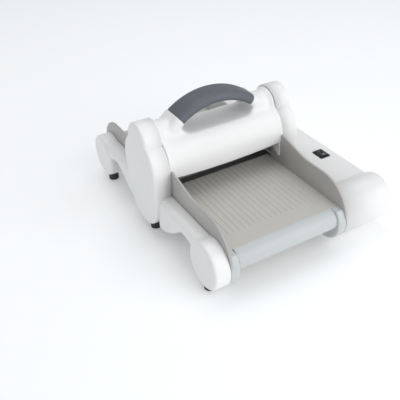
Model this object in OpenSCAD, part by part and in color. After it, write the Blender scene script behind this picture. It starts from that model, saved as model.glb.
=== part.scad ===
// Motor-driven die cutting machine: two steel rollers in a pair of steel side plates,
// a feed tray at the front and the back, and white moulded covers with a carrying handle.
// +X is to the right of a user facing the front, -Y is the front, +Z is up; feet stand on z = 0.

/* [Feed path] */
// width between the two side guides of a tray
tray_w = 160; // [150:1:190]
// height of the tray floor above the table
tray_z = 58.8; // [56:0.2:62]
// gap between the two rollers
nip_gap = 19; // [17:0.5:20]
// thickness of a side guide
guide_t = 3; // [2:0.5:3.5]
// height of a side guide above the tray floor
guide_h = 32.2; // [24:0.2:36]
// spacing of the grooves in the tray floor
groove_pitch = 7.5; // [6:0.5:12]

/* [Body] */
// depth of the machine from nose to nose
depth = 351.6; // [320:0.2:400]
// radius of the rounded noses of the leg and the motor housing
nose_r = 30.3; // [28:0.1:31]
// thickness of a roller-end cover (ear)
ear_t = 23.5; // [22:0.5:26]
// width of the motor housing
housing_w = 76.7; // [74:0.1:90]
// height of the motor housing's flat deck
deck_z = 61; // [60:0.5:64]
// width of the left leg
leg_w = 19.2; // [18:0.2:21]
// wall of the white mouldings
wall = 2.5; // [2:0.1:3]

/* [Handle] */
// height of the top of the handle
handle_z = 174; // [170:0.5:180]
// depth of the grip, front to back
grip_d = 36; // [30:1:40]
// radial thickness of the grip
grip_t = 12.5; // [11:0.5:14]
// half angle of the grip's arc
grip_half_angle = 36; // [30:1:38]

/* [Rollers and gears] */
// radius of a roller
roller_r = 14.5; // [13:0.1:15]
// radius of a roller journal
journal_r = 8; // [6:0.5:9]
// running clearance on a radius
running_gap = 0.05; // [0.02:0.01:0.09]
// teeth on each of the two equal gears that tie the rollers together
sync_teeth = 24; // [22:2:26]
// teeth on the gear that drives the lower roller
drive_teeth = 34; // [32:2:36]
// teeth on each pinion
pinion_teeth = 17; // [17:2:19]
// module of the drive gear and the pinion it meshes with
drive_module = 1.5; // [1.4:0.05:1.6]
// module of the first reduction, at the motor
motor_module = 1; // [0.9:0.05:1.1]

/* [Hidden] */
$fn = 96;
half_w = tray_w / 2;
guide_out = half_w + guide_t;
side_gap = 0.3;
inner_x = guide_out + side_gap;
left_out = inner_x + ear_t;
right_out = inner_x + housing_w;
mid_x = -(right_out - left_out) / 2;

// shared section of the noses
nose_y = depth / 2 - nose_r;
nose_z = nose_r + 9.5;

// rollers
low_z = tray_z + 0.5 - roller_r;
centre_d = nip_gap + 2 * roller_r;
up_z = low_z + centre_d;
sync_module = centre_d / sync_teeth;
roller_half = guide_out - 0.5;
throat_y = roller_r + 2.5;

// side plates
plate_x0 = inner_x + 0.7;
plate_t = 4;
plate_x1 = plate_x0 + plate_t;
plate_half_y = 32;
plate_z0 = 20;
plate_low_z = [plate_z0, 28, 36, 44];
plate_z1 = up_z + 34;
plate_top_y = 22;
bush_r = journal_r + 3;
rod_r = 4;
rod_low = [18, 29];
rod_up = [18, up_z + 26];
rod_thread_r = 2.5;
rod_thread_l = 10;
bush_flange = 2.5;
bush_flange_t = 1.6;
clip_w = 1.8;
clip_t = 0.9;

// ear lobes: [z, radius], from the top one down
ear_top = [132, 24.7];
ear_mid = [97.5, 42.2];
ear_low = [52, 37];
ear_edge = 6;
// posts inside the covers that rest on the side plates
ear_bosses = [[0, up_z + 31.7], [-29, 69], [29, 69]];
ear_boss_r = 3.5;

// gears
gear_w = 9;
sync_x = plate_x1 + 2.2;
drive_x = plate_x1 + 2.2;
wheel_x = drive_x + gear_w + 0.5;
wheel_w = 5;
idler_d = drive_module * (drive_teeth + pinion_teeth) / 2;
idler_drop = 7.8;
idler_y = sqrt(idler_d * idler_d - idler_drop * idler_drop);
idler_z = low_z - idler_drop;
idler_a = -asin(idler_drop / idler_d);
wheel_teeth = 2 * pinion_teeth;
motor_d = motor_module * (wheel_teeth + pinion_teeth) / 2;
motor_y = idler_y + motor_d;
axle_r = 3;
backlash = 0.12;

// motor
motor_r = 18.5;
motor_plate_x = wheel_x + wheel_w + 1.5;
motor_plate_t = 2;
gearbox_x = motor_plate_x + motor_plate_t;
gearbox_l = 20;
can_l = 27;
shaft_r = 3;
can_cap_t = 3;
can_cap_r = 5;
spacer_r = 3;
spacer_x = drive_x - 1.4;
spacer_at = [[16, 18.5], [motor_y + 24, 19.5], [motor_y + 24, 54]];
motor_plate_at = [12, 15.5];

// switch
switch_x = inner_x + 54.5;
switch_y = -56;
bezel = [15.5, 20.3];
socket = [13.4, 19.2];
pocket = [11.4, 17.4];
paddle = [11, 15.8];
pivot_r = 1;
switch_drop = 15;
bezel_t = 1.5;
rocker_tip = 3.6;
rocker_dip = 2.2;
terminal = [4.8, 0.8, 7];
terminal_pitch = 6;

// trays
floor_t = 3;
lip_r = 14.2;
lip_y = depth / 2 - 17.3;
lip_z = tray_z - lip_r;
floor_y = 10.6;
cap_w = 13;
groove_w = 1.2;
groove_deep = 0.7;
guide_top = tray_z + guide_h;
guide_arc = 46;
guide_rise = 12.5;
guide_low = 46;
climb_from = -95;
climb_run = 60;
tray_rib_t = 2;
tray_rib_z = tray_z - 13;
cap_boss_r = 5;
guide_screw_x = guide_out - cap_w + 4;
guide_screw_l = 21;

// leg
arm_top = 66.5;
arm_low = 49.6;
arm_in_y = 30;
toe = [[-94, arm_low], [-82, 44], [-62, 28], [-52, 23], [-30, 17]];
disc_step = 3;
leg_boss_r = 5;
tongue_t = 3.5;
tongue_y = [26, 45];
tongue_z = [51, 63];
leg_screw = [28.5, 57];

// centre cover
barrel_z = 100;
barrel_r = 40.4;
barrel_wall = 2.8;
root_r = 20;
root_x = 50;
cover_low = 84;
cheek_x = [guide_out - 4.8, guide_out - 3.3];
guide_slot_z = guide_top + guide_rise + 1.5;
ring_out = 94;
ring_in = ring_out - grip_t;
ring_z = handle_z - ring_out;
grip_core = 2.5;
arch_edge = 4;
// room for the fingers under the handle
scoop_x = 50;
scoop_z = 134;
// stiffening ribs inside the cover, which sit on the two upper tie rods
rib_x = [-63, 60];
rib_t = 3;

// inside the motor housing
base_t = 2.5;
base_z = nose_z - nose_r;
base_half_y = nose_y - 20;
board = [50, 50, 1.6];
board_at = [inner_x + 15, -nose_y + 20, 20];
inlet_y = 105;
inlet_z = 32;
inlet_r = 5.5;
inlet_bore = 3;
board_hole = 4;
pillar_r = 3;
housing_skirt = 8;

// supports
foot_r = 7;
foot_h = 17;
left_foot_x = -inner_x - leg_w / 2 + 1;
left_foot_y = nose_y - 4;
right_foot_x = inner_x + 45;
right_foot_y = base_half_y - foot_r - 3;
screw_r = 1.5;
screw_head_r = 3;

// tray under the rollers
pan_half_y = 44;
pan_z = 12.5;
pan_t = 2.5;
pan_lip_t = 2;
pan_top = 44;
// posts that carry the pan on the two lower tie rods
pan_post_x = [-60, 52];
pan_post_w = 8;

// the piece to draw, or all of them

// ---------- shared shapes ----------

module on_frame() { translate([mid_x, 0, 0]) children(); }

// a flat shape drawn as (y, z), made thick from x to x + t
module slab(x, t) { translate([x, 0, 0]) rotate([90, 0, 90]) linear_extrude(t) children(); }

// a round bar along X
module bar(x, y, z, r, len) { translate([x, y, z]) rotate([0, 90, 0]) cylinder(r = r, h = len); }

module box(x0, x1, y0, y1, z0, z1) { translate([x0, y0, z0]) cube([x1 - x0, y1 - y0, z1 - z0]); }

module disc2d(y, z, r) { translate([y, z]) circle(r); }

module flip_y() { mirror([0, 1, 0]) children(); }

// outline of a roller-end cover, grown by g
module ear2d(g) {
  disc2d(0, ear_top[0], ear_top[1] + g);
  disc2d(0, ear_mid[0], ear_mid[1] + g);
  disc2d(0, ear_low[0], ear_low[1] + g);
  ear_sides2d(g);
}

// the straight sides between the two lower lobes
module ear_sides2d(g) {
  mid = ear_mid[1] + g - 1;
  low = ear_low[1] + g - 1;
  polygon([[-mid, ear_mid[0]], [-low, ear_low[0]], [low, ear_low[0]], [mid, ear_mid[0]]]);
}

// a disc lying across X from x, t thick, its edge at the far end rounded
module lobe(x, z, r, t) {
  translate([x, 0, z]) rotate([0, 90, 0]) rotate_extrude() {
    square([r, t - ear_edge]);
    square([r - ear_edge, t]);
    intersection() {
      translate([r - ear_edge, t - ear_edge]) circle(ear_edge);
      square([r, t]);
    }
  }
}

// involute of a base circle rb, at radius r: the angle it has turned through
function inv_a(rb, r) = r <= rb ? 0 : sqrt(r * r / (rb * rb) - 1) * 180 / PI - acos(rb / r);

// tooth by tooth: root, up one flank, down the other, root
module gear2d(teeth, m) {
  rp = m * teeth / 2;
  rb = rp * cos(20);
  ra = rp + 0.8 * m;
  rf = rp - 1.1 * m;
  half = 90 / teeth - backlash / rp * 90 / PI + inv_a(rb, rp);
  up = [for (i = [0:3]) max(rf, rb) + (ra - max(rf, rb)) * i / 3];
  polygon([for (k = [0:teeth - 1], i = [0:9]) let (
      r = i == 0 || i == 9 ? rf : up[i < 5 ? i - 1 : 8 - i],
      a = 360 * k / teeth + (i < 5 ? -1 : 1) * (half - inv_a(rb, r)))
    [r * cos(a), r * sin(a)]]);
}

// a gear along X at (y, z), its first tooth turned to angle a
module gear(x, w, y, z, teeth, m, a, bore) {
  translate([x, y, z]) rotate([90, 0, 90]) linear_extrude(w) difference() {
    rotate(a) gear2d(teeth, m);
    circle(bore);
  }
}

// ---------- steel frame ----------

// half the depth of a side plate at height z, where it stands inside the low lobe of a cover
function plate_reach(z) = min(plate_half_y, sqrt(pow(ear_low[1] - wall - 0.5, 2) - pow(ear_low[0] - z, 2)));

plate_edge = concat([for (z = plate_low_z) [plate_reach(z), z]],
  [[plate_half_y, plate_z1 - 17], [plate_top_y, plate_z1]]);

module plate(x) {
  slab(x, plate_t) difference() {
    polygon(concat(plate_edge, [for (i = [len(plate_edge) - 1:-1:0]) [-plate_edge[i][0], plate_edge[i][1]]]));
    disc2d(0, low_z, bush_r);
    disc2d(0, up_z, bush_r);
    for (s = [-1, 1]) disc2d(s * leg_screw[0], leg_screw[1], screw_r);
  }
}

// the two ends of every tie rod, seen from the left
module rod_ends() {
  for (k = [0, 1], s = [-1, 1]) mirror([k, 0, 0]) {
    translate([0, s * rod_low[0], rod_low[1]]) children();
    translate([0, s * rod_up[0], rod_up[1]]) children();
  }
}

// a countersunk screw, flush with the outside of a side plate
module rod_screw() {
  translate([plate_x1, 0, 0]) rotate([0, -90, 0]) {
    cylinder(r1 = 2 * rod_thread_r, r2 = rod_thread_r, h = rod_thread_r);
    cylinder(r = rod_thread_r, h = plate_t + rod_thread_l);
  }
}

module side_plate_left() {
  color("silver") on_frame() difference() {
    plate(-plate_x1);
    rod_ends() rod_screw();
  }
}

module side_plate_right() {
  color("silver") on_frame() difference() {
    plate(plate_x0);
    rod_ends() rod_screw();
  }
}

module tie_rods() {
  color("silver") on_frame() for (s = [-1, 1], p = [rod_low, rod_up]) difference() {
    bar(-plate_x0, s * p[0], p[1], rod_r, 2 * plate_x0);
    rod_ends() rod_screw();
  }
}

module tie_rod_screws() { color("silver") on_frame() rod_ends() rod_screw(); }

module roller_bushes() {
  color("goldenrod") on_frame() for (z = [low_z, up_z], s = [0, 1]) mirror([s, 0, 0])
    difference() {
      union() {
        bar(plate_x0, 0, z, bush_r, plate_t);
        bar(plate_x1, 0, z, bush_r + bush_flange, bush_flange_t);
      }
      bar(plate_x0 - 1, 0, z, journal_r + running_gap, plate_t + 4);
    }
}

// ---------- rollers and their gears ----------

module roller(z, right_end) {
  bar(-roller_half, 0, z, roller_r, 2 * roller_half);
  bar(-sync_x - gear_w - 1, 0, z, journal_r, sync_x + gear_w + 1 + right_end);
}

module lower_roller() { color("gray") on_frame() roller(low_z, drive_x + gear_w + 1.6); }

module upper_roller() { color("gray") on_frame() roller(up_z, plate_x1 + 3); }

module sync_gear_lower() {
  color("white") on_frame()
    gear(-sync_x - gear_w, gear_w, 0, low_z, sync_teeth, sync_module, 90, journal_r);
}

module sync_gear_upper() {
  color("white") on_frame() gear(-sync_x - gear_w, gear_w, 0, up_z,
    sync_teeth, sync_module, -90 + 180 / sync_teeth, journal_r);
}

module drive_gear() {
  color("white") on_frame()
    gear(drive_x, gear_w, 0, low_z, drive_teeth, drive_module, idler_a, journal_r);
}

module idler_gear() {
  color("white") on_frame() {
    gear(drive_x, gear_w + 0.5, idler_y, idler_z, pinion_teeth, drive_module, idler_a,
      axle_r + running_gap);
    gear(wheel_x, wheel_w, idler_y, idler_z, wheel_teeth, motor_module, 0,
      axle_r + running_gap);
  }
}

module idler_axle() {
  color("silver") on_frame() bar(spacer_x, idler_y, idler_z, axle_r, motor_plate_x + 1 - spacer_x);
}

// a spring ring on the end of a journal, holding the gear on
module shaft_clip(z) {
  translate([-sync_x - gear_w - 1, 0, z]) rotate([0, 90, 0]) difference() {
    cylinder(r = journal_r + clip_w, h = clip_t);
    translate([0, 0, -1]) cylinder(r = journal_r, h = clip_t + 2);
  }
}

module lower_shaft_clip() { color("dimgray") on_frame() shaft_clip(low_z); }

module upper_shaft_clip() { color("dimgray") on_frame() shaft_clip(up_z); }

// ---------- motor ----------

module motor_plate() {
  color("silver") on_frame() slab(motor_plate_x, motor_plate_t) difference() {
    translate(motor_plate_at) square([motor_y + 17, deck_z - wall - motor_plate_at[1] - 1.5]);
    for (p = spacer_at) disc2d(p[0], p[1], screw_r);
    disc2d(idler_y, idler_z, axle_r);
    disc2d(motor_y, idler_z, shaft_r + 2);
  }
}

module plate_spacers() {
  color("silver") on_frame() for (p = spacer_at)
    bar(spacer_x, p[0], p[1], spacer_r, motor_plate_x - spacer_x);
}

module motor_gearbox() {
  color("dimgray") on_frame() difference() {
    bar(gearbox_x, motor_y, idler_z, motor_r, gearbox_l);
    bar(gearbox_x - 1, motor_y, idler_z, shaft_r + running_gap, 14);
  }
}

module motor_can() {
  color("silver") on_frame() {
    bar(gearbox_x + gearbox_l, motor_y, idler_z, motor_r - 1.5, can_l - can_cap_t);
    bar(gearbox_x + gearbox_l + can_l - can_cap_t, motor_y, idler_z, can_cap_r, 2);
  }
}

module motor_pinion() {
  color("goldenrod") on_frame() {
    gear(wheel_x, wheel_w, motor_y, idler_z, pinion_teeth, motor_module, 0, shaft_r);
    bar(wheel_x - 0.5, motor_y, idler_z, shaft_r, gearbox_x - wheel_x + 12);
  }
}

// ---------- switch ----------

module switch_bezel() {
  color("black") on_frame() translate([switch_x, switch_y, 0]) difference() {
    union() {
      translate([-bezel[0] / 2, -bezel[1] / 2, deck_z]) cube([bezel[0], bezel[1], bezel_t]);
      translate([-socket[0] / 2, -socket[1] / 2, deck_z - switch_drop])
        cube([socket[0], socket[1], switch_drop]);
    }
    translate([-pocket[0] / 2, -pocket[1] / 2, deck_z - switch_drop + 2])
      cube([pocket[0], pocket[1], switch_drop + 2]);
    bar(-socket[0] / 2 - 1, 0, deck_z, pivot_r + running_gap, socket[0] + 2);
  }
}

module switch_rocker() {
  half = paddle[1] / 2;
  color("black") on_frame() translate([switch_x, switch_y, 0]) {
    slab(-paddle[0] / 2, paddle[0]) polygon([[-half, deck_z + rocker_tip],
      [0, deck_z + rocker_dip], [half, deck_z + rocker_tip], [half, deck_z - 3], [0, deck_z - 6],
      [-half, deck_z - 3]]);
    bar(-socket[0] / 2, 0, deck_z, pivot_r, socket[0]);
  }
}

module switch_terminals() {
  color("goldenrod") on_frame() for (i = [-1:1])
    translate([switch_x - terminal[0] / 2, switch_y + i * terminal_pitch - terminal[1] / 2,
      deck_z - switch_drop - terminal[2]]) cube(terminal);
}

// ---------- feed trays ----------

module tray() {
  n = floor((half_w - 8) / groove_pitch);
  difference() {
    box(-half_w, half_w, -lip_y, -floor_y, tray_z - floor_t, tray_z);
    for (i = [-n:n]) box(i * groove_pitch - groove_w / 2, i * groove_pitch + groove_w / 2,
      -nose_y + 12, 0, tray_z - groove_deep, tray_z + 1);
  }
  difference() {
    bar(-half_w + cap_w - guide_t + 0.3, -lip_y, lip_z, lip_r, tray_w - 2 * (cap_w - guide_t) - 0.6);
    bar(-half_w, -lip_y, lip_z, lip_r - floor_t, tray_w);
    box(-half_w, half_w, -lip_y, 0, 0, tray_z - floor_t);
    box(-half_w, half_w, -lip_y - 4, 0, 0, lip_z);
  }
  for (x = [-half_w / 2, 0, half_w / 2])
    box(x - tray_rib_t / 2, x + tray_rib_t / 2, -lip_y + 4, -floor_y - 37, tray_rib_z,
      tray_z - floor_t);
}

module front_tray() { color("lightgray") on_frame() tray(); }

module rear_tray() { color("lightgray") on_frame() flip_y() tray(); }

// height of a guide's top edge as it climbs from the tray towards the covers
function climb(t) = guide_top + guide_rise * t * t * (3 - 2 * t);

module guide2d() {
  arc_y = depth / 2 - 0.3 - guide_arc;
  steps = 14;
  intersection() {
    disc2d(-arc_y, guide_top - guide_arc, guide_arc);
    translate([-arc_y - guide_arc, guide_low]) square([guide_arc + 1, guide_arc]);
  }
  polygon(concat(
    [[-arc_y, guide_low], [-arc_y, guide_top]],
    [for (i = [0:steps]) [climb_from + climb_run * i / steps, climb(i / steps)]],
    [[-throat_y, guide_top + guide_rise], [-throat_y, guide_low]]));
}

// the guide on the right of a front tray
module guide() {
  slab(half_w, guide_t) guide2d();
  difference() {
    slab(guide_out - cap_w, cap_w) disc2d(-nose_y, nose_z, nose_r);
    slab(guide_out - cap_w + wall, cap_w) disc2d(-nose_y, nose_z, nose_r - wall);
    box(0, half_w, -nose_y - nose_r - 1, 0, tray_z, nose_z + nose_r + 1);
    box(0, half_w + 1, -lip_y, 0, 0, tray_z + 20);
    box(half_w - 1, guide_out + 1, -nose_y + 12, 0, 0, 100);
  }
  difference() {
    bar(guide_out - cap_w + 1, -nose_y, nose_z, cap_boss_r, cap_w - 1);
    bar(guide_screw_x, -nose_y, nose_z, screw_r, cap_w);
  }
  box(guide_out - cap_w, guide_out - cap_w + wall, -lip_y, -nose_y + 5,
    nose_z - cap_boss_r, nose_z + cap_boss_r);
}

module front_guide_right() { color("gray") on_frame() guide(); }

module front_guide_left() { color("gray") on_frame() mirror([1, 0, 0]) guide(); }

module rear_guide_right() { color("gray") on_frame() flip_y() guide(); }

module rear_guide_left() { color("gray") on_frame() mirror([1, 0, 0]) flip_y() guide(); }

module guide_screws() {
  color("silver") on_frame() for (s = [-1, 1], k = [0, 1]) mirror([k, 0, 0])
    bar(guide_screw_x, s * nose_y, nose_z, screw_r, guide_screw_l);
}

// ---------- left leg and roller-end covers ----------

module at_feet() {
  for (y = [-left_foot_y, 0, left_foot_y]) translate([left_foot_x, y, 0]) children();
  for (y = [-right_foot_y, 0, right_foot_y]) translate([right_foot_x, y, 0]) children();
}

module feet() { color("black") on_frame() at_feet() cylinder(r = foot_r, h = foot_h); }

module foot_holes() { at_feet() translate([0, 0, -1]) cylinder(r = foot_r, h = foot_h + 1); }

// side view of the front half of the leg, grown by g
module leg2d(g) {
  disc2d(-nose_y, nose_z, nose_r + g);
  translate([-nose_y, arm_low - g])
    square([nose_y - arm_in_y, arm_top - arm_low + 2 * g]);
  polygon([[-nose_y + 27, arm_low - 12 - g], [-nose_y + 31, arm_low - 4 - g],
    [-nose_y + 38, arm_low - g], [-nose_y + 38, arm_low + 4], [-nose_y + 15, arm_low]]);
  polygon(concat([for (p = toe) [p[0], p[1] - g]],
    [[toe[4][0], arm_low + 4], [toe[0][0], arm_low + 4]]));
}

module front_leg() {
  mirror([1, 0, 0]) {
    difference() {
      union() {
        slab(inner_x, leg_w - disc_step) leg2d(0);
        slab(inner_x, leg_w) leg2d(-2);
        translate([0, -nose_y, 0]) lobe(inner_x, nose_z, nose_r, leg_w);
      }
      slab(inner_x - 1, leg_w + 1 - wall) intersection() {
        leg2d(-wall);
        translate([-nose_y - nose_r, 0]) square([nose_y + nose_r - 46, 90]);
      }
      slab(inner_x - 1, leg_w + 2) ear2d(side_gap);
    }
    difference() {
      union() {
        bar(inner_x, -nose_y, nose_z, leg_boss_r, leg_w - 1);
        box(plate_x1, plate_x1 + tongue_t, -tongue_y[1], -tongue_y[0], tongue_z[0], tongue_z[1]);
      }
      bar(inner_x - 1, -nose_y, nose_z, screw_r, guide_screw_x + guide_screw_l - inner_x + 1.5);
      bar(plate_x1 - 1, -leg_screw[0], leg_screw[1], screw_r, 9);
    }
  }
}

module front_leg_left() {
  color("white") on_frame() difference() {
    front_leg();
    foot_holes();
  }
}

module rear_leg_left() {
  color("white") on_frame() difference() {
    flip_y() front_leg();
    foot_holes();
  }
}

module leg_screws() {
  color("silver") on_frame() for (s = [-1, 1]) {
    bar(-plate_x1 - tongue_t, s * leg_screw[0], leg_screw[1], screw_r, plate_t + tongue_t - 1);
    bar(-plate_x1 - tongue_t - 1.6, s * leg_screw[0], leg_screw[1], screw_head_r - 0.2, 1.6);
  }
}

module ear() {
  difference() {
    union() {
      lobe(inner_x, ear_top[0], ear_top[1], ear_t);
      lobe(inner_x, ear_mid[0], ear_mid[1], ear_t);
      lobe(inner_x, ear_low[0], ear_low[1], ear_t);
      slab(inner_x, ear_t - 1.2) ear_sides2d(-1);
    }
    slab(inner_x - 1, ear_t - wall + 1) ear2d(-wall);
  }
  for (p = ear_bosses) bar(plate_x1, p[0], p[1], ear_boss_r, ear_t - plate_x1 + inner_x - 1);
}

module left_ear() {
  color("white") on_frame() difference() {
    mirror([1, 0, 0]) ear();
    for (s = [0, 1]) mirror([0, s, 0])
      box(-plate_x1 - tongue_t - side_gap, -inner_x + 1, tongue_y[0] - 2, tongue_y[1] + 1,
        tongue_z[0] - side_gap, tongue_z[1] + side_gap);
    foot_holes();
  }
}

module right_ear() {
  color("white") on_frame() difference() {
    ear();
    box(0, right_out, -depth, depth, 0, deck_z);
  }
}

// ---------- motor housing ----------

module housing2d(g) {
  disc2d(-nose_y, nose_z, nose_r + g);
  disc2d(nose_y, nose_z, nose_r + g);
  translate([-nose_y, base_z - g]) square([2 * nose_y, deck_z - base_z + 2 * g]);
}

module housing_top() {
  color("white") on_frame() {
    difference() {
      union() {
        slab(inner_x, housing_w - 3.5) housing2d(0);
        slab(inner_x, housing_w - 1.2) housing2d(-2.6);
        for (s = [-1, 1])
          translate([0, s * nose_y, 0]) lobe(inner_x, nose_z, nose_r, housing_w);
        slab(inner_x, housing_w) housing2d(-6);
      }
      slab(inner_x - 1, housing_w - wall + 1) housing2d(-wall);
      box(0, right_out - housing_skirt, -base_half_y, base_half_y, 0, base_z + 5);
      box(0, inner_x + ear_t - wall, -38, 38, deck_z - 5, deck_z + 5);
      translate([switch_x - socket[0] / 2, switch_y - socket[1] / 2, deck_z - 5])
        cube([socket[0], socket[1], 10]);
      bar(right_out - 9, inlet_y, inlet_z, inlet_r, 12);
    }
    for (s = [-1, 1]) difference() {
      bar(inner_x, s * nose_y, nose_z, leg_boss_r, housing_w - 1);
      bar(inner_x - 1, s * nose_y, nose_z, screw_r, guide_screw_x + guide_screw_l - inner_x + 1.5);
    }
  }
}

module housing_base() {
  color("white") on_frame() difference() {
    union() {
      box(inner_x, right_out - housing_skirt, -base_half_y, base_half_y, base_z, base_z + base_t);
      for (y = [-right_foot_y, 0, right_foot_y])
        translate([right_foot_x, y, base_z]) cylinder(r = foot_r + 2, h = foot_h - base_z + 1.5);
    }
    foot_holes();
  }
}

module circuit_board() {
  color("green") on_frame() translate(board_at) {
    difference() {
      cube(board);
      for (x = [board_hole, board[0] - board_hole], y = [board_hole, board[1] - board_hole])
        translate([x, y, -1]) cylinder(r = screw_r, h = 4);
    }
    translate([14, 14, board[2]]) cylinder(r = 5, h = 12);
    translate([28, 14, board[2]]) cylinder(r = 5, h = 12);
    translate([14, 28, board[2]]) cube([22, 8, 14]);
    translate([10, 41, board[2]]) cube([28, 6, 8]);
  }
}

module board_pillars() {
  color("white") on_frame() translate(board_at)
    for (x = [board_hole, board[0] - board_hole], y = [board_hole, board[1] - board_hole])
      translate([x, y, base_z + base_t - board_at[2]]) {
        cylinder(r = pillar_r, h = board_at[2] - base_z - base_t);
        cylinder(r = screw_r, h = board_at[2] - base_z - base_t + board[2]);
      }
}

module dc_inlet() {
  color("black") on_frame() {
    difference() {
      bar(right_out - 14, inlet_y, inlet_z, inlet_r, 14);
      bar(right_out - 10, inlet_y, inlet_z, inlet_bore, 11);
    }
    bar(right_out - 11, inlet_y, inlet_z, 1, 9);
  }
}

// ---------- centre cover and handle ----------

module rounded2d(x0, x1, half, r) {
  translate([x0 + r, -half]) square([x1 - x0 - 2 * r, 2 * half]);
  translate([x0, -half + r]) square([x1 - x0, 2 * half - 2 * r]);
  for (x = [x0 + r, x1 - r], y = [-half + r, half - r]) translate([x, y]) circle(r);
}

// an arc of the handle's ring, a degrees each side of the middle
module arch(a, r0, r1, half, r) {
  translate([0, 0, ring_z]) rotate([90, 0, 0]) rotate([0, 0, 90 - a])
    rotate_extrude(angle = 2 * a) rounded2d(r0, r1, half, r);
}

module cover_end2d(g) {
  disc2d(0, barrel_z, barrel_r + g);
  disc2d(0, ear_top[0], root_r + g);
}

module centre_cover() {
  span = 2 * guide_out;
  color("white") on_frame() {
    difference() {
      union() {
        slab(-guide_out, span) disc2d(0, barrel_z, barrel_r);
        for (k = [0, 1]) mirror([k, 0, 0]) {
          slab(root_x, guide_out - root_x) cover_end2d(0);
        }
        arch(grip_half_angle + 8, ring_in, ring_out, grip_d / 2, arch_edge);
      }
      box(-scoop_x, scoop_x, -60, 60, scoop_z, barrel_z + barrel_r + 2);
      difference() {
        slab(-guide_out - 1, span + 2) disc2d(0, barrel_z, barrel_r - barrel_wall);
        box(-scoop_x - barrel_wall, scoop_x + barrel_wall, -60, 60, scoop_z - barrel_wall,
          barrel_z + barrel_r);
      }
      for (k = [0, 1]) mirror([k, 0, 0])
        slab(root_x + barrel_wall, guide_out) cover_end2d(-barrel_wall);
      box(-guide_out - 1, guide_out + 1, -60, 60, 40, cover_low);
      arch(grip_half_angle, ring_in - 5, ring_out + 5, grip_d, 2);
      for (k = [0, 1]) mirror([k, 0, 0])
        box(cheek_x[1], guide_out + 1, -60, 60, 40, guide_slot_z);
    }
    arch(grip_half_angle + 0.5, ring_in + grip_core, ring_out - grip_core,
      grip_d / 2 - grip_core, 2);
    for (k = [0, 1], s = [-1, 1]) mirror([k, 0, 0]) slab(cheek_x[0], cheek_x[1] - cheek_x[0])
      polygon([[s * 37, 107], [s * 39.6, 100], [s * 40, cover_low - 13],
        [s * 24, cover_low - 4], [s * 22, cover_low + 1], [s * 34, 104]]);
    for (x = rib_x) slab(x, rib_t) difference() {
      intersection() {
        disc2d(0, barrel_z, barrel_r - barrel_wall + 0.2);
        translate([-50, up_z + roller_r + 4]) square([100, 60]);
      }
      for (s = [-1, 1]) disc2d(s * rod_up[0], rod_up[1], rod_r);
    }
  }
}

module handle_grip() {
  color("slategray") on_frame() difference() {
    arch(grip_half_angle, ring_in, ring_out, grip_d / 2, arch_edge);
    arch(grip_half_angle + 1, ring_in + grip_core, ring_out - grip_core,
      grip_d / 2 - grip_core, 2);
  }
}

// ---------- underside ----------

module bottom_pan() {
  color("dimgray") on_frame() {
    box(-guide_out, guide_out, -pan_half_y, pan_half_y, pan_z, pan_z + pan_t);
    for (x = pan_post_x, s = [-1, 1]) difference() {
      box(x, x + pan_post_w, s * rod_low[0] - pan_post_w / 2, s * rod_low[0] + pan_post_w / 2,
        pan_z + pan_t, rod_low[1] - 1);
      bar(x - 1, s * rod_low[0], rod_low[1], rod_r, pan_post_w + 2);
    }
    for (s = [0, 1]) mirror([0, s, 0])
      box(-guide_out, guide_out, pan_half_y - pan_lip_t, pan_half_y, pan_z + pan_t, pan_top);
  }
}

side_plate_left();
side_plate_right();
tie_rods();
tie_rod_screws();
roller_bushes();
lower_roller();
upper_roller();
sync_gear_lower();
sync_gear_upper();
drive_gear();
idler_gear();
idler_axle();
motor_plate();
plate_spacers();
motor_gearbox();
motor_can();
motor_pinion();
circuit_board();
board_pillars();
dc_inlet();
switch_bezel();
switch_rocker();
switch_terminals();
front_tray();
rear_tray();
front_guide_left();
front_guide_right();
rear_guide_left();
rear_guide_right();
front_leg_left();
rear_leg_left();
left_ear();
right_ear();
housing_top();
housing_base();
centre_cover();
handle_grip();
bottom_pan();
feet();
leg_screws();
guide_screws();
lower_shaft_clip();
upper_shaft_clip();
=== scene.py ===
import math
import bmesh
import bpy
from mathutils import Matrix, Vector


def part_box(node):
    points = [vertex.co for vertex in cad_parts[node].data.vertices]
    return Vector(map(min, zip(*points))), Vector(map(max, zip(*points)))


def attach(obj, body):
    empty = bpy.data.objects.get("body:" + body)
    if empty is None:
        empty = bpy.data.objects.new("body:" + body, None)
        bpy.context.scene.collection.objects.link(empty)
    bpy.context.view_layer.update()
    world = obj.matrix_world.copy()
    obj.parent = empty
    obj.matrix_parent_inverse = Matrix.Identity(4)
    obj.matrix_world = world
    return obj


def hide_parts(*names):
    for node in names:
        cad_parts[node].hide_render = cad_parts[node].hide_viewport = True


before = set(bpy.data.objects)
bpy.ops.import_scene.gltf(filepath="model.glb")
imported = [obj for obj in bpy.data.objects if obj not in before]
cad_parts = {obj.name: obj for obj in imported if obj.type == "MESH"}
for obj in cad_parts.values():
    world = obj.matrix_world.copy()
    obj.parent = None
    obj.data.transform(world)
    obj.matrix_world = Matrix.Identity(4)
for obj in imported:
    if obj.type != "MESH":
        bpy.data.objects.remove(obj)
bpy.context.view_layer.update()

# ---------------------------------------------------------------------------
# Feed trays. Two identical satin grey mouldings, one each side of the rollers: a flat floor with
# shallow front-to-back grooves, turned down at its outer end into a round lip.
# They are held between the side guides and their end caps.

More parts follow.
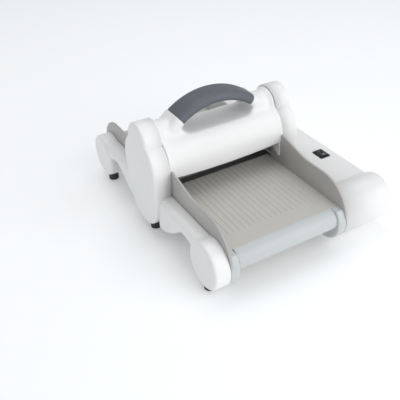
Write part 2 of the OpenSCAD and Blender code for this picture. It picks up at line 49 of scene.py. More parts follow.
MM = 0.001
tray_low, tray_high = [Vector(corner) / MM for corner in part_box("front_tray")]
mid_x = (tray_low.x + tray_high.x) / 2
half_w = (tray_high.x - tray_low.x) / 2
tray_z = tray_high.z
floor_t = 3.0
floor_y = -tray_high.y
lip_r = 14.2
lip_y = -tray_low.y - lip_r
lip_z = tray_z - lip_r
lip_half = half_w - 10.3
lip_edge = 0.7
groove_pitch = 7.5
groove_w = 1.4
groove_deep = 0.5
groove_end_y = 134.0
floor_side = half_w - 0.2
floor_margin = 8.0
rib_in_y = 48.0
rib_t = 2.0


def arc(y, z, r, start, stop, steps):
    """Points on an arc about (y, z), from start to stop degrees."""
    turns = [math.radians(start + (stop - start) * i / steps) for i in range(steps + 1)]
    return [(y + r * math.cos(a), z + r * math.sin(a)) for a in turns]


def side_view(outline, x):
    """A flat face at x whose outline is given as (y, z)."""
    bm = bmesh.new()
    bm.faces.new([bm.verts.new((x, y, z)) for y, z in outline])
    return bm


def end_view(outline, y):
    """A flat face at y whose outline is given as (x, z)."""
    bm = bmesh.new()
    bm.faces.new([bm.verts.new((x, y, z)) for x, z in outline])
    return bm


def pull(bm, move):
    """Draws a flat face out into a solid."""
    grown = bmesh.ops.extrude_face_region(bm, geom=bm.faces[:])
    verts = [g for g in grown["geom"] if isinstance(g, bmesh.types.BMVert)]
    bmesh.ops.translate(bm, verts=verts, vec=move)
    bmesh.ops.recalc_face_normals(bm, faces=bm.faces[:])
    return bm


def rims(bm, x):
    """The edges of the flat side that lies at x."""
    return [e for e in bm.edges if all(abs(v.co.x - x) < 1e-4 for v in e.verts)]


def rounded(bm, edges, radius, segments=3):
    """Rounds these edges over."""
    bmesh.ops.bevel(bm, geom=edges, offset=radius, offset_type="OFFSET", segments=segments,
                    profile=0.5, affect="EDGES", clamp_overlap=True, material=-1)
    return bm


def added(bm, other):
    """Puts a second body into the same mesh."""
    spare = bpy.data.meshes.new("spare")
    other.to_mesh(spare)
    bm.from_mesh(spare)
    bpy.data.meshes.remove(spare)
    return bm


def mirrored(bm, axis):
    """Turns a mesh over about the middle of the machine."""
    scale = [1, 1, 1]
    scale["xyz".index(axis)] = -1
    bmesh.ops.scale(bm, vec=scale, verts=bm.verts[:])
    bmesh.ops.reverse_faces(bm, faces=bm.faces[:])
    return bm


def made(name, bm, material, body="machine_frame", smooth=40):
    """Turns millimetres about the tray's middle into a finished piece in the frame."""
    bmesh.ops.translate(bm, verts=bm.verts[:], vec=(mid_x, 0, 0))
    bmesh.ops.scale(bm, vec=(MM, MM, MM), verts=bm.verts[:])
    mesh = bpy.data.meshes.new(name)
    bm.to_mesh(mesh)
    bm.free()
    mesh.materials.append(material)
    for face in mesh.polygons:
        face.use_smooth = True
    mesh.set_sharp_from_angle(angle=math.radians(smooth))
    piece = bpy.data.objects.new(name, mesh)
    bpy.context.scene.collection.objects.link(piece)
    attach(piece, body)
    return piece


def finish(name, colour, roughness, metallic=0.0, mottle=0.02, mottle_size=40, grain=0.1,
           grain_size=1500, stretch=(1, 1, 1), wear=0.06, coat=0.0):
    """A surface with a little unevenness of colour, gloss and grain."""
    material = bpy.data.materials.new(name)
    material.use_nodes = True
    nodes, links = material.node_tree.nodes, material.node_tree.links
    shader = nodes["Principled BSDF"]
    shader.inputs["Metallic"].default_value = metallic
    shader.inputs["Coat Weight"].default_value = coat
    shader.inputs["Coat Roughness"].default_value = 0.08
    place = nodes.new("ShaderNodeTexCoord")
    turn = nodes.new("ShaderNodeMapping")
    turn.inputs["Scale"].default_value = stretch
    links.new(place.outputs["Object"], turn.inputs["Vector"])

    def noise(scale, detail):
        texture = nodes.new("ShaderNodeTexNoise")
        texture.inputs["Scale"].default_value = scale
        texture.inputs["Detail"].default_value = detail
        links.new(turn.outputs["Vector"], texture.inputs["Vector"])
        return texture.outputs["Fac"]

    def spread(value, low, high):
        ramp = nodes.new("ShaderNodeMapRange")
        ramp.inputs["From Min"].default_value = 0.3
        ramp.inputs["From Max"].default_value = 0.7
        ramp.inputs["To Min"].default_value = low
        ramp.inputs["To Max"].default_value = high
        links.new(value, ramp.inputs["Value"])
        return ramp.outputs["Result"]

    mix = nodes.new("ShaderNodeMix")
    mix.data_type = "RGBA"
    mix.inputs["A"].default_value = (*[c * (1 - mottle) for c in colour], 1)
    mix.inputs["B"].default_value = (*[min(1, c * (1 + mottle)) for c in colour], 1)
    links.new(spread(noise(mottle_size, 3), 0, 1), mix.inputs["Factor"])
    links.new(mix.outputs["Result"], shader.inputs["Base Color"])
    links.new(spread(noise(mottle_size * 3, 4), roughness - wear, roughness + wear),
              shader.inputs["Roughness"])
    bump = nodes.new("ShaderNodeBump")
    bump.inputs["Strength"].default_value = grain
    bump.inputs["Distance"].default_value = 0.0004
    links.new(noise(grain_size, 2), bump.inputs["Height"])
    links.new(bump.outputs["Normal"], shader.inputs["Normal"])
    return material


# The tray, lip, caps and guide walls are all one grey plastic. The floor gets a lighter, warmer
# copy of it as painted light from the front. The lip and the guides' end caps get a cooler copy
# as painted light on their turned faces.
tray_grey = finish("tray_grey", (0.55, 0.53, 0.495), 0.42, grain=0.06, grain_size=1100,
                   mottle=0.015)
turn_grey_painted_light = finish("turn_grey_painted_light", (0.545, 0.57, 0.575), 0.36, grain=0.02, grain_size=300, mottle=0.01)


def grooved_floor():
    """The floor from the rollers to the end of the grooves, drawn out along them."""
    top = []
    count = int((half_w - floor_margin) / groove_pitch)
    for i in range(-count, count + 1):
        x = i * groove_pitch
        top += [(x - groove_w / 2, tray_z), (x - groove_w / 6, tray_z - groove_deep),
                (x + groove_w / 6, tray_z - groove_deep), (x + groove_w / 2, tray_z)]
    outline = ([(-floor_side, tray_z - floor_t), (-floor_side, tray_z)] + top
               + [(floor_side, tray_z), (floor_side, tray_z - floor_t)])
    return pull(end_view(outline, -groove_end_y), (0, groove_end_y - floor_y, 0))


def apron():
    """The flat front of the floor, past the grooves."""
    outline = [(-groove_end_y, tray_z - floor_t), (-groove_end_y, tray_z), (-lip_y, tray_z),
               (-lip_y, tray_z - floor_t)]
    return pull(side_view(outline, -floor_side), (2 * floor_side, 0, 0))


def tray():
    """The floor with three stiffening ribs under it."""
    bm = added(grooved_floor(), apron())
    for x in (-half_w / 2, 0, half_w / 2):
        rib = side_view([(-lip_y + 4, tray_z - floor_t), (-rib_in_y, tray_z - floor_t),
                         (-rib_in_y, tray_z - 10), (-rib_in_y - 8, tray_z - 13),
                         (-lip_y + 4, tray_z - 13)], x - rib_t / 2)
        added(bm, pull(rib, (rib_t, 0, 0)))
    return bm


def lip():
    """The rolled edge, from the top of the floor round to its underside."""
    start, stop = 90, 262
    outline = (arc(-lip_y, lip_z, lip_r, start, stop, 28)
               + arc(-lip_y, lip_z, lip_r - floor_t, stop, start, 20))
    bm = pull(side_view(outline, -lip_half), (2 * lip_half, 0, 0))
    return rounded(bm, rims(bm, -lip_half) + rims(bm, lip_half), lip_edge, 3)


front_tray = made("front_tray_floor", tray(), tray_grey)
rear_tray = made("rear_tray_floor", mirrored(tray(), "y"), tray_grey)
front_lip = made("front_tray_lip", lip(), turn_grey_painted_light)
rear_lip = made("rear_tray_lip", mirrored(lip(), "y"), turn_grey_painted_light)
for piece, node in ((front_tray, "front_tray"), (rear_tray, "rear_tray"),
                    (front_lip, "front_tray"), (rear_lip, "rear_tray")):
    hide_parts(node)

# ---------------------------------------------------------------------------
# Side guides. Thin grey walls that keep a stack of plates square to the rollers, one each side
# of each tray. Each is one moulding with the rounded end cap that closes the tray's lip, and is
# screwed to the leg or the housing beside it.

guide_low, guide_high = [Vector(corner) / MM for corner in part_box("front_guide_right")]
guide_out = guide_high.x - mid_x
guide_top = tray_z + 32.2
guide_rise = guide_high.z - guide_top
guide_arc = 46.0
cap_in = guide_out - 13.0
nose_r = 30.3
nose_y = -guide_low.y - nose_r
nose_z = guide_low.z + nose_r
throat_y = -guide_high.y
skirt = 12.0
guide_edge = 0.9
cap_edge = 3.2
sweep_y = 100.0
sweep_run = 66.0
# The walls get a darker copy of the trays' grey plastic, as painted shade on faces turned away
# from the lights.
guide_grey_painted_shade = finish("guide_grey_painted_shade", (0.45, 0.436, 0.418), 0.4, grain=0.06, grain_size=1100,
                    mottle=0.015)


def guide_outline():
    """Up in a quarter circle at the front, level, then up again in an S beside the rollers."""
    arc_y = -guide_low.y - 0.3 - guide_arc
    climb = []
    for i in range(21):
        t = i / 20
        climb.append((-sweep_y + sweep_run * t, guide_top + guide_rise * t * t * (3 - 2 * t)))
    return ([(-arc_y - 5, tray_z - skirt), (-nose_y - 26, tray_z - skirt)]
            + arc(-arc_y, guide_top - guide_arc, guide_arc, 179, 90, 24)
            + climb + [(-throat_y, guide_top + guide_rise), (-throat_y, tray_z - skirt)])


def guide():
    """The wall of the guide, with its rims eased."""
    bm = pull(side_view(guide_outline(), half_w), (guide_out - half_w, 0, 0))
    return rounded(bm, rims(bm, half_w) + rims(bm, guide_out), guide_edge, 3)


def guide_cap():
    """The round end of the guide, level with the nose beside it."""
    start = 180 - math.degrees(math.asin((tray_z - 0.05 - nose_z) / nose_r))
    outline = (arc(-nose_y, nose_z, nose_r, start, 292, 34)
               + [(-nose_y + 12, nose_z - 12), (-nose_y, nose_z + 8), (-lip_y + 4, tray_z - 4),
                  (-lip_y + 4, tray_z - 0.05)])
    bm = pull(side_view(outline, cap_in), (guide_out - cap_in, 0, 0))
    return rounded(bm, rims(bm, cap_in) + rims(bm, guide_out), cap_edge, 6)


# Wall and cap are one moulding. The wall takes the painted-shade grey, and the cap takes the
# painted-light grey of the lip.
for node, flips in (("front_guide_right", ""), ("front_guide_left", "x"),
                    ("rear_guide_right", "y"), ("rear_guide_left", "xy")):
    for bm, part, material in ((guide(), "_wall", guide_grey_painted_shade), (guide_cap(), "_cap", turn_grey_painted_light)):
        for axis in flips:
            mirrored(bm, axis)
        piece = made(node + part, bm, material)
        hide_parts(node)

# ---------------------------------------------------------------------------
# Steel frame. Two side plates tied by four round rods carry the rollers in bronze bushes; it is
# cut from zinc-plated sheet and bar and sits out of sight inside the covers.

plated_steel = finish("plated_steel", (0.55, 0.56, 0.58), 0.32, metallic=1.0, mottle=0.06,
                      grain=0.08, grain_size=600, stretch=(1, 12, 1))
bronze = finish("bush_bronze", (0.62, 0.42, 0.2), 0.35, metallic=1.0, mottle=0.08, grain=0.05)


def coated(material, *nodes):
    """Gives pieces of the frame their finish."""
    for node in nodes:
        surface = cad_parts[node].data.materials
        surface.clear()
        surface.append(material)


coated(plated_steel, "side_plate_left", "side_plate_right", "tie_rods", "tie_rod_screws",
       "idler_axle", "motor_plate", "plate_spacers", "motor_can", "leg_screws", "guide_screws",
       "lower_shaft_clip", "upper_shaft_clip")
coated(bronze, "roller_bushes", "motor_pinion", "switch_terminals")

# ---------------------------------------------------------------------------
# Rollers and gears. Ground steel rollers, with moulded nylon gears on their ends and in the train
# down to the motor. The gears are pressed on and held by steel clips.

# The rollers' steel is painted much darker than ground steel, as painted shade in the nip under
# the cover.
roller_steel_painted_shade = finish("ground_steel_painted_shade", (0.2, 0.2, 0.2), 0.35, metallic=0.75, mottle=0.05,
                      grain=0.1, grain_size=900, stretch=(0.2, 1, 1))
nylon = finish("gear_nylon", (0.72, 0.7, 0.64), 0.5, mottle=0.03, grain=0.1)
coated(roller_steel_painted_shade, "lower_roller", "upper_roller")
coated(nylon, "sync_gear_lower", "sync_gear_upper", "drive_gear", "idler_gear")

# ---------------------------------------------------------------------------
# Motor, circuit board, inlet and underside. The geared motor is screwed to a steel plate beside
# the frame, the board stands on moulded pillars, and the inlet sits in the housing's wall. A
# dark pan closes the middle of the machine from below, and a white one the housing.

gearbox_zinc = finish("gearbox_zinc", (0.12, 0.12, 0.13), 0.5, metallic=0.8, mottle=0.08,
                      grain=0.3)
board_green = finish("board_green", (0.01, 0.09, 0.03), 0.3, mottle=0.1, grain=0.05)
black_gloss = finish("black_gloss", (0.012, 0.012, 0.013), 0.28, mottle=0.1, grain=0.06)
dark_moulding = finish("dark_moulding", (0.045, 0.045, 0.048), 0.55, mottle=0.05, grain=0.2)
white_shell = finish("white_shell", (0.85, 0.85, 0.845), 0.3, mottle=0.006, grain=0.008,
                     grain_size=45, wear=0.02)
coated(gearbox_zinc, "motor_gearbox")
coated(board_green, "circuit_board")
coated(black_gloss, "dc_inlet")
coated(dark_moulding, "bottom_pan")
coated(white_shell, "board_pillars", "housing_base")

# ---------------------------------------------------------------------------
# Roller-end covers. Glossy white mouldings with a three-lobed outline, one over each side plate;
# the left one reaches nearly to the table and the right one stands on the motor housing's deck.
# Posts inside them rest on the side plates.

ear_low, ear_high = [Vector(corner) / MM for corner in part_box("left_ear")]
ear_out = mid_x - ear_low.x
ear_in = mid_x - ear_high.x
ear_edge = 6.5
shell_t = 2.4
top_lobe = (132.0, 24.7)
mid_lobe = (97.5, 42.2)
low_lobe = (52.0, 37.0)


def lobed_outline(top, mid, low):
    """Outline of three stacked lobes, each (z, radius), with straight sides at the bottom."""
    (zt, rt), (zm, rm), (zl, rl) = top, mid, low
    kink_z = (zt ** 2 - zm ** 2 - rt ** 2 + rm ** 2) / (2 * (zt - zm))
    kink_top = math.degrees(math.asin((kink_z - zt) / rt))
    kink_mid = math.degrees(math.asin((kink_z - zm) / rm))
    lean = -math.degrees(math.asin((rm - rl) / (zm - zl)))
    right = (arc(0, zl, rl, -90, lean, 22)
             + arc(0, zm, rm, lean, kink_mid, 16)[:-1]
             + arc(0, zt, rt, kink_top, 90, 22))
    left = [(-y, z) for y, z in reversed(right[1:-1])]
    return right + left


def shelled(piece, thickness):
    """Gives an open skin the wall of a moulding, inwards."""
    wall = piece.modifiers.new("wall", "SOLIDIFY")
    wall.thickness = thickness * MM
    wall.offset = -1
    return piece


def opened(bm, x):
    """Takes away the flat face at x, which a moulding leaves open."""
    gone = [f for f in bm.faces if all(abs(v.co.x - x) < 1e-3 for v in f.verts)]
    bmesh.ops.delete(bm, geom=gone, context="FACES")
    return bm


def ear():
    """One cover as an open skin, as on the right-hand side."""
    bm = pull(side_view(lobed_outline(top_lobe, mid_lobe, low_lobe), ear_in),
              (ear_out - ear_in, 0, 0))
    return opened(rounded(bm, rims(bm, ear_out), ear_edge, 8), ear_in)


def sliced(bm, point, away):
    """Cuts off what lies beyond a plane and leaves the cut open."""
    bmesh.ops.bisect_plane(bm, geom=bm.verts[:] + bm.edges[:] + bm.faces[:], plane_co=point,
                           plane_no=away, clear_outer=True)
    return bm


left_ear = made("left_ear_cover", mirrored(ear(), "x"), white_shell, smooth=50)
shelled(left_ear, shell_t)
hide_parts("left_ear")

deck_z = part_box("right_ear")[0][2] / MM
bm = sliced(ear(), (0, 0, deck_z + 0.05), (0, 0, -1))
right_ear = shelled(made("right_ear_cover", bm, white_shell, smooth=50), shell_t)
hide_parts("right_ear")

# ---------------------------------------------------------------------------
# Motor housing. A glossy white moulding with a flat deck between two round noses, over the motor.
# It closes onto a flat base, and its edges and the foot of each nose are softly rounded.

housing_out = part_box("housing_top")[1][0] / MM - mid_x
fillet_r = 11.0
housing_edge = 5.5


def fillet_on_nose(level):
    """Centre of the fillet between the nose and a flat at this level, and where it touches."""
    z = level + fillet_r
    y = math.sqrt((nose_r + fillet_r) ** 2 - (z - nose_z) ** 2)
    return y, z, math.degrees(math.atan2(z - nose_z, y))


y, z, touch = fillet_on_nose(deck_z)
front = (arc(-nose_y, nose_z, nose_r, 270, touch, 40)[1:]
         + arc(-nose_y + y, z, fillet_r, touch + 180, 270, 8)[1:])
outline = front + [(-py, pz) for py, pz in reversed(front)]
bm = pull(side_view(outline, ear_in), (housing_out - ear_in, 0, 0))
rounded(bm, rims(bm, housing_out), housing_edge, 7)
opened(bm, ear_in)
housing = shelled(made("motor_housing_shell", bm, white_shell, smooth=50), shell_t)
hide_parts("housing_top")

# ---------------------------------------------------------------------------
# Left leg. Front and rear white mouldings, each a flattened bar out of the left cover that ends
# in a round nose over a foot.

leg_out = mid_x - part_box("front_leg_left")[0][0] / MM
leg_wall = 2.0
arm_top = 66.5
arm_low = 49.6
nose_edge = 3.5
arm_edge = 8.0
leg_melt = 0.9
leg_passes = 26


def block(name, bm):
    """A mesh being worked on, as an object that modifiers can use."""
    mesh = bpy.data.meshes.new(name)
    bm.to_mesh(mesh)
    bm.free()
    lump = bpy.data.objects.new(name, mesh)
    bpy.context.scene.collection.objects.link(lump)
    return lump


def taken_back(*lumps):
    """The first block with its modifiers applied; all of them are then put away."""
    result = bmesh.new()
    result.from_object(lumps[0], bpy.context.evaluated_depsgraph_get())
    for lump in lumps:
        mesh = lump.data
        bpy.data.objects.remove(lump)
        bpy.data.meshes.remove(mesh)
    return result


def melted(lump, voxel):
    """Joins what overlaps in a block into one even skin."""
    melt = lump.modifiers.new("melt", "REMESH")
    melt.mode = "VOXEL"
    melt.voxel_size = voxel


def cut_by(lump, tool):
    """Takes one block out of another."""
    cut = lump.modifiers.new("cut", "BOOLEAN")
    cut.operation = "DIFFERENCE"
    cut.solver = "EXACT"
    cut.object = tool
    tool.hide_render = True


def fused(bm, voxel, passes, scoop=None):
    """Melts overlapping solids into one skin, with soft fillets where they meet."""
    lump = block("fused", bm)
    melted(lump, voxel)
    lumps = [lump]
    if scoop is not None:
        lumps.append(block("scoop", scoop))
        cut_by(lump, lumps[1])
        melted(lump, voxel)
    ease = lump.modifiers.new("ease", "SMOOTH")
    ease.factor = 0.5
    ease.iterations = passes
    return taken_back(*lumps)


def carved(bm, tool):
    """Cuts one closed skin with another and leaves crisp edges."""
    lump, knife = block("carved", bm), block("knife", tool)
    cut_by(lump, knife)
    return taken_back(lump, knife)


def disc(y, z, r, x, length):
    """A round bar along X."""
    return pull(side_view(arc(y, z, r, 0, 355, 71), x), (length, 0, 0))


def leg():
    """A nose and an arm, melted together on the right and then mirrored to the left."""
    over = ear_in - 6
    face = leg_out + 0.6
    nose = disc(-nose_y, nose_z, nose_r + 0.05, over, face - over)
    rounded(nose, rims(nose, face), nose_edge, 4)
    side = leg_out - 0.8
    outline = [(-nose_y + 4, arm_top + 0.4), (0, arm_top + 0.4), (0, 16), (-44, 18), (-52, 22.5),
               (-62, 27.5), (-82, 43.5), (-93, arm_low - 0.4), (-104, arm_low - 0.4),
               (-nose_y + 30, arm_low - 4), (-nose_y + 25, arm_low - 13), (-nose_y, arm_low - 13)]
    arm = pull(side_view(outline, over), (side - over, 0, 0))
    rounded(arm, rims(arm, side), arm_edge, 6)
    bm = fused(added(nose, arm), leg_melt, leg_passes)
    sliced(bm, (ear_in, 0, 0), (-1, 0, 0))
    sliced(bm, (0, -35, 0), (0, 1, 0))
    return mirrored(bm, "x")


for node, bm in (("front_leg_left", leg()), ("rear_leg_left", mirrored(leg(), "y"))):
    piece = shelled(made(node + "_moulding", bm, white_shell, smooth=60), leg_wall)
    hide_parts(node)

# ---------------------------------------------------------------------------
# Centre cover. One white moulding from ear to ear: a barrel over the rollers that swells up at
# each end into the root of the handle, scooped out under the handle for the fingers, with a
# collar against each ear and a tab inside each guide.

barrel_z, barrel_r = 100.0, 40.4
root_z, root_r = 132.0, 19.9
root_x = 50.0
collar_x = 79.0
collar_r = 1.0
root_collar_r = 2.8
cover_t = 2.6
cover_low = 86.8
cover_bow = 4.6
cover_end = guide_out - 0.2
ring_r = 94.0
grip_high = Vector(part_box("handle_grip")[1]) / MM
ring_z = grip_high.z - ring_r
grip_half = grip_high.y
grip_t = 12.5
proud = 0.9
grip_angle = 36.0
scoop_z = 134.0
scoop_x = 50.0
scoop_deep = 60.0
cover_melt = 1.25
cover_passes = 24


def ring_part(r0, r1, half, inner, outer, angle, steps=48):
    """Part of the handle's ring, this many degrees each side of the middle."""
    bm = bmesh.new()
    verts = [bm.verts.new((0, y, ring_z + r)) for y, r in
             ((half, r0), (half, r1), (-half, r1), (-half, r0))]
    bm.faces.new(verts)
    for level, corner in ((r0, inner), (r1, outer)):
        if corner:
            ends = [v for v in bm.verts if abs(v.co.z - ring_z - level) < 1e-4]
            bmesh.ops.bevel(bm, geom=ends, offset=corner, offset_type="OFFSET", segments=8,
                            profile=0.5, affect="VERTICES", material=-1)
    centre = (0, 0, ring_z)
    bmesh.ops.rotate(bm, verts=bm.verts[:], cent=centre,
                     matrix=Matrix.Rotation(-math.radians(angle), 3, "Y"))
    bmesh.ops.spin(bm, geom=bm.faces[:] + bm.edges[:] + bm.verts[:], cent=centre, axis=(0, 1, 0),
                   angle=math.radians(2 * angle), steps=steps, use_duplicate=False)
    bmesh.ops.recalc_face_normals(bm, faces=bm.faces[:])
    return bm


def front_view(outline, y0, y1):
    """A solid whose outline is given as (x, z), from y0 to y1."""
    return pull(end_view(outline, y0), (0, y1 - y0, 0))


def finger_scoop():
    """The room under the handle, right through from front to back."""
    roof = ring_r - grip_t - proud
    lift = math.degrees(math.acos((scoop_z + 6 - ring_z) / roof))
    top = [(roof * math.sin(math.radians(a)), ring_z + roof * math.cos(math.radians(a)))
           for a in [lift - 2 * lift * i / 40 for i in range(41)]]
    floor = [(-scoop_x, scoop_z + 5), (-scoop_x + 4, scoop_z + 1), (-scoop_x + 10, scoop_z),
             (scoop_x - 10, scoop_z), (scoop_x - 4, scoop_z + 1), (scoop_x, scoop_z + 5)]
    return front_view(floor + top, -scoop_deep, scoop_deep)


def cover():
    """Barrel, necks, collars and arch melted together, longer than the cover at both ends."""
    reach = cover_end + 8
    neck_x = root_x - 1
    barrel = disc(0, barrel_z, barrel_r, -reach, 2 * reach)
    for side in (-1, 1):
        added(barrel, disc(0, root_z, root_r, side * neck_x, side * (reach - neck_x)))
        for z, r in ((barrel_z, barrel_r + collar_r), (root_z, root_r + root_collar_r)):
            added(barrel, disc(0, z, r, side * collar_x, side * (reach - collar_x)))
    added(barrel, ring_part(ring_r - grip_t - proud, ring_r + proud, grip_half + 0.8, 4, 7,
                            grip_angle + 11))
    return fused(barrel, cover_melt, cover_passes, finger_scoop())


def below_cover():
    """The space under the cover, whose lower edge bows down a little in its middle."""
    reach, depth, bottom = cover_end + 2, 70, 40
    edge = []
    for i in range(33):
        x = (i / 16 - 1) * reach
        edge.append((x, cover_low + cover_bow * (x / cover_end) ** 2))
    return front_view(edge + [(reach, bottom), (-reach, bottom)], -depth, depth)


def cover_tab(side):
    """The tab that hangs inside a guide and hides the end of the rollers."""
    outline = [(-34, 101), (-39.2, 100), (-40.3, 90), (-40.5, 72), (-38.5, 70.5), (-36, 72.5),
               (-24, 80), (-22, 85), (-33, 98)]
    tab = pull(side_view(outline, side * (half_w - 2.2)), (side * 1.7, 0, 0))
    return added(tab, mirrored(tab.copy(), "y"))


bm = cover()
for side in (1, -1):
    sliced(bm, (side * cover_end, 0, 0), (side, 0, 0))
bmesh.ops.holes_fill(bm, edges=[e for e in bm.edges if e.is_boundary])
bm = carved(bm, ring_part(ring_r - grip_t - 3, ring_r + 6, grip_half + 8, 0, 0, grip_angle))
bm = carved(bm, below_cover())
bm.normal_update()
# The moulding is open below and at its two ends.
ends = [f for f in bm.faces if all(abs(abs(v.co.x) - cover_end) < 1e-3 for v in f.verts)
        or (f.normal.z < -0.95 and f.calc_center_median().z < cover_low + cover_bow + 0.5)]
bmesh.ops.delete(bm, geom=ends, context="FACES")
centre_cover = shelled(made("centre_cover_moulding", bm, white_shell, smooth=50), cover_t)
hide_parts("centre_cover")
for side, name in ((-1, "left"), (1, "right")):
    tab = made("cover_tab_" + name, cover_tab(side), white_shell)

# ---------------------------------------------------------------------------
# Handle grip. A slate grey soft-touch sleeve, moulded round the arch of the cover between two
# shoulders that stand a little proud of it.

grip_slate = finish("grip_slate", (0.108, 0.122, 0.138), 0.5, mottle=0.04, grain=0.12,
                    grain_size=1100)


def corners(bm, sharpest):
    """The edges that turn by more than this many degrees."""
    limit = math.radians(sharpest)
    return [e for e in bm.edges if len(e.link_faces) == 2 and e.calc_face_angle(0) > limit]


bm = ring_part(ring_r - grip_t, ring_r, grip_half, 4, 7.5, grip_angle)
rounded(bm, corners(bm, 60), 0.8, 2)
grip = made("grip_sleeve", bm, grip_slate)
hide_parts("handle_grip")

# ---------------------------------------------------------------------------
# Rocker switch. A glossy black snap-in switch in the deck: a bezel round a rocker that tips both
# ways and springs back, with a plain white bar and ring on its two ends. The frame leaves room
# for the rocker to tip.

switch_low, switch_high = [Vector(corner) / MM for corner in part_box("switch_bezel")]
bezel_mid = (switch_low + switch_high) / 2 - Vector((mid_x, 0, 0))
bezel_half_x = (switch_high.x - switch_low.x) / 2
bezel_half_y = (switch_high.y - switch_low.y) / 2
rocker_low, rocker_high = [Vector(corner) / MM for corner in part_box("switch_rocker")]
rocker_half_x = 5.4
rocker_gap_x, rocker_gap_y = 0.3, 0.9
rocker_half_y = (rocker_high.y - rocker_low.y) / 2 - 0.1
print_white = finish("print_white", (0.75, 0.75, 0.75), 0.5)


def oblong(half_x, half_y, corner, z0, z1, soft):
    """An upright block with rounded corners and a softened top, about the switch's middle."""
    bm = bmesh.new()
    bmesh.ops.create_grid(bm, x_segments=1, y_segments=1, size=1)
    bmesh.ops.scale(bm, vec=(half_x, half_y, 1), verts=bm.verts[:])
    bmesh.ops.bevel(bm, geom=bm.verts[:], offset=corner, offset_type="OFFSET", segments=5,
                    profile=0.5, affect="VERTICES", material=-1)
    bmesh.ops.translate(bm, verts=bm.verts[:], vec=(bezel_mid.x, bezel_mid.y, z0))
    pull(bm, (0, 0, z1 - z0))
    if soft:
        top = [e for e in bm.edges if all(abs(v.co.z - z1) < 1e-4 for v in e.verts)]
        rounded(bm, top, soft, 3)
    return bm


bezel = block("bezel", oblong(bezel_half_x, bezel_half_y, 1.2, deck_z + 0.05, deck_z + 1.5, 0.5))
bm = carved(taken_back(bezel), oblong(rocker_half_x + rocker_gap_x, rocker_half_y + rocker_gap_y,
                                      0.5, deck_z - 4, deck_z + 4, 0))
bezel = made("switch_frame", bm, black_gloss)
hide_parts("switch_bezel")

dish = []
for i in range(17):
    t = -1 + i / 8
    dish.append((bezel_mid.y + t * rocker_half_y, deck_z + 2.0 + 1.5 * t * t))
outline = dish + [(bezel_mid.y + rocker_half_y, deck_z - 2),
                  (bezel_mid.y - rocker_half_y, deck_z - 2)]
bm = pull(side_view(outline, bezel_mid.x - rocker_half_x), (2 * rocker_half_x, 0, 0))
rounded(bm, [e for e in corners(bm, 25) if all(v.co.z > deck_z for v in e.verts)], 0.4, 3)
rocker = made("switch_paddle", bm, black_gloss, body="rocker")
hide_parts("switch_rocker")

bar_size = (0.6, 2.2, 0.3)
bar_place = (0, 5.4, 0.75)
ring_place = (0, -5.2, 0.6)
marks_z = deck_z + 1.95
marks = bmesh.new()
bmesh.ops.create_cube(marks, size=1)
bmesh.ops.scale(marks, vec=bar_size, verts=marks.verts[:])
bmesh.ops.translate(marks, verts=marks.verts[:], vec=bar_place)
ring = bmesh.new()
profile = [ring.verts.new((x, 0, z)) for x, z in ((0.8, 0), (1.3, 0), (1.3, 0.3), (0.8, 0.3))]
ring.faces.new(profile)
bmesh.ops.spin(ring, geom=ring.faces[:] + ring.edges[:] + ring.verts[:], cent=(0, 0, 0),
               axis=(0, 0, 1), angle=2 * math.pi, steps=24, use_merge=True, use_duplicate=False)
bmesh.ops.remove_doubles(ring, verts=ring.verts[:], dist=1e-4)
bmesh.ops.delete(ring, geom=[f for f in ring.faces if len(f.edges) > 4], context="FACES_ONLY")
bmesh.ops.recalc_face_normals(ring, faces=ring.faces[:])
bmesh.ops.translate(ring, verts=ring.verts[:], vec=ring_place)
added(marks, ring)
bmesh.ops.translate(marks, verts=marks.verts[:], vec=(bezel_mid.x, bezel_mid.y, marks_z))
marks = made("switch_marks", marks, print_white, body="rocker")

# ---------------------------------------------------------------------------
# Feet. Six round pads of matt black rubber, pushed into the underside of the legs, the left cover
# and the motor housing.

foot_rubber = finish("foot_rubber", (0.03, 0.03, 0.03), 0.7, mottle=0.1, grain=0.3)
coated(foot_rubber, "feet")

# ---------------------------------------------------------------------------
# Table, lights and camera. The machine stands on a plain white table under two large soft lights,
# one in front and one above, in a pale room.

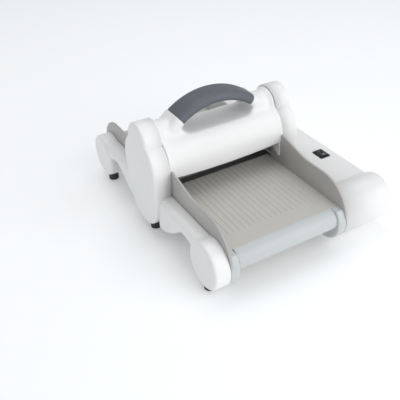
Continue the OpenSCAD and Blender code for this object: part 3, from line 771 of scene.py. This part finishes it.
bpy.ops.mesh.primitive_plane_add(size=30)
table = bpy.context.object
table.name = "table_top"
paper = finish("table_white", (0.86, 0.87, 0.88), 0.6, mottle=0.002, grain=0.0)
glow = paper.node_tree.nodes["Principled BSDF"]
glow.inputs["Emission Color"].default_value = (1, 1, 1, 1)
glow.inputs["Emission Strength"].default_value = 0.22
table.data.materials.append(paper)

world = bpy.context.scene.world or bpy.data.worlds.new("studio")
bpy.context.scene.world = world
world.use_nodes = True
room = world.node_tree.nodes["Background"]
room.inputs["Color"].default_value = (0.95, 0.975, 1.0, 1)
room.inputs["Strength"].default_value = 0.55


def softbox(name, place, target, size, watts):
    """A square light that faces the target."""
    light = bpy.data.lights.new(name, "AREA")
    light.shape = "SQUARE"
    light.size = size
    light.energy = watts
    lamp = bpy.data.objects.new(name, light)
    bpy.context.scene.collection.objects.link(lamp)
    lamp.location = place
    lamp.rotation_euler = (Vector(target) - Vector(place)).to_track_quat("-Z", "Y").to_euler()


softbox("front_light", (0.6, -1.6, 0.9), (0, 0, 0.05), 2.0, 19)
softbox("top_light", (0.1, 0.3, 1.6), (0, 0, 0.05), 1.2, 6)
bpy.context.scene.view_settings.view_transform = "Standard"

# The camera stands to the left of the front and looks down at the machine.
azimuth, elevation, roll = [math.radians(a) for a in (-31.157, 33.419, -1.512)]
back = Vector((math.sin(azimuth) * math.cos(elevation), -math.cos(azimuth) * math.cos(elevation),
               math.sin(elevation)))
level = Vector((math.cos(azimuth), math.sin(azimuth), 0))
upright = back.cross(level)
right = level * math.cos(roll) + upright * math.sin(roll)
up = upright * math.cos(roll) - level * math.sin(roll)
camera_data = bpy.data.cameras.new("camera")
camera_data.sensor_width = 36
camera_data.lens = 55.95
camera_data.shift_x = -0.0772
camera_data.shift_y = -0.0469
camera = bpy.data.objects.new("camera", camera_data)
bpy.context.scene.collection.objects.link(camera)
camera.matrix_world = Matrix.LocRotScale(
    Vector((-0.3472 + mid_x * MM, -0.6170, 0.5029)), Matrix((right, up, back)).transposed(), None)
bpy.context.scene.camera = camera
